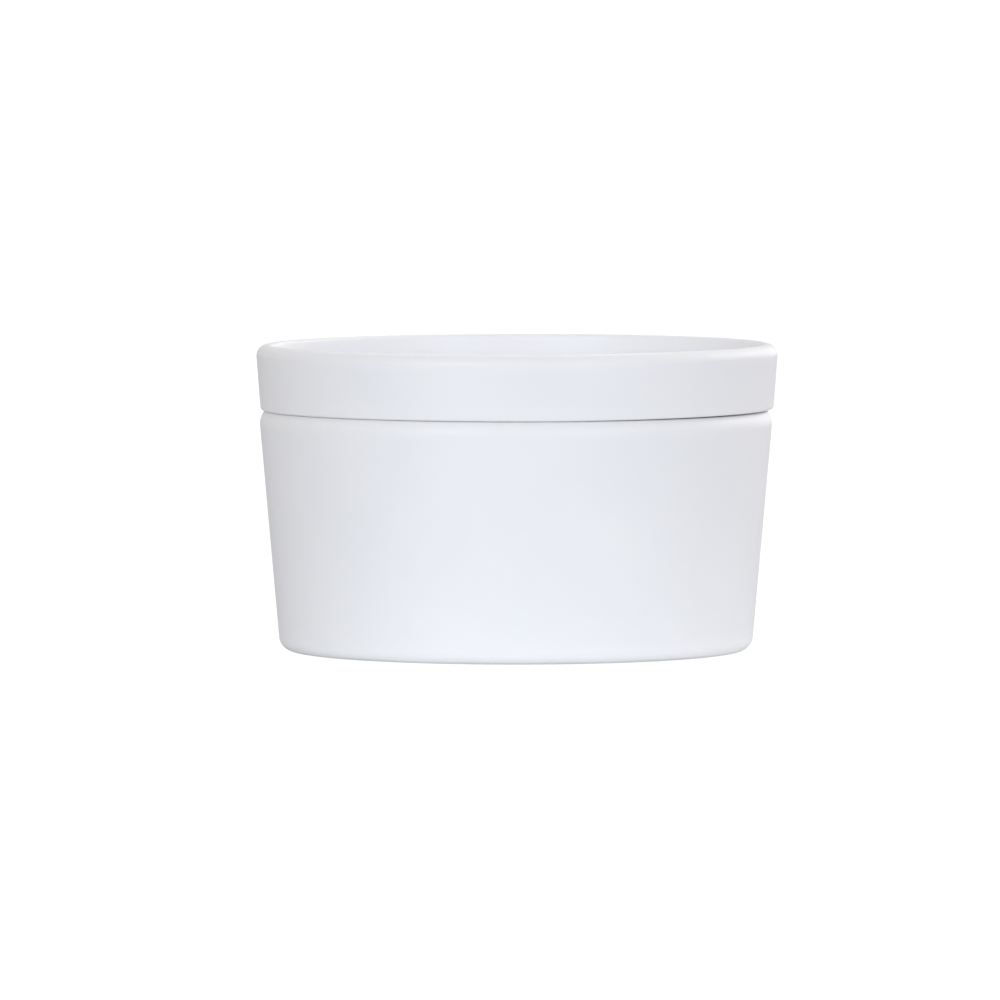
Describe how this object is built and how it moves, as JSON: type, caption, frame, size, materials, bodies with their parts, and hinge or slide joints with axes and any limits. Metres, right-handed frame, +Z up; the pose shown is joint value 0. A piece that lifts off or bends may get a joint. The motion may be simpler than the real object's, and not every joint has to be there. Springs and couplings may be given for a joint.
{
  "type": "porcelain crucible with lid",
  "caption": "Wide, low, tapered white porcelain crucible with a loose flush lid. The top of the lid is a shallow dish with a raised rim, and the lid lifts straight off.",
  "frame": {"origin": "centre of the base, on the plane of the foot ring that it stands on", "axes": "+Z up along the axis of both pieces; the pieces are round, so X and Y are any two level directions"},
  "size_m": [0.076, 0.076, 0.0447],
  "materials": {
    "porcelain": "white porcelain with a satin glaze, bare where the foot and the two rims touch something"
  },
  "bodies": {
    "crucible": {"crucible": "porcelain"},
    "lid": {"lid": "porcelain"}
  },
  "joints": [
    {"name": "lid_lift", "type": "slide", "parent": "crucible", "child": "lid", "axis": [0, 0, 1], "range_m": [0, 0.05]}
  ]
}
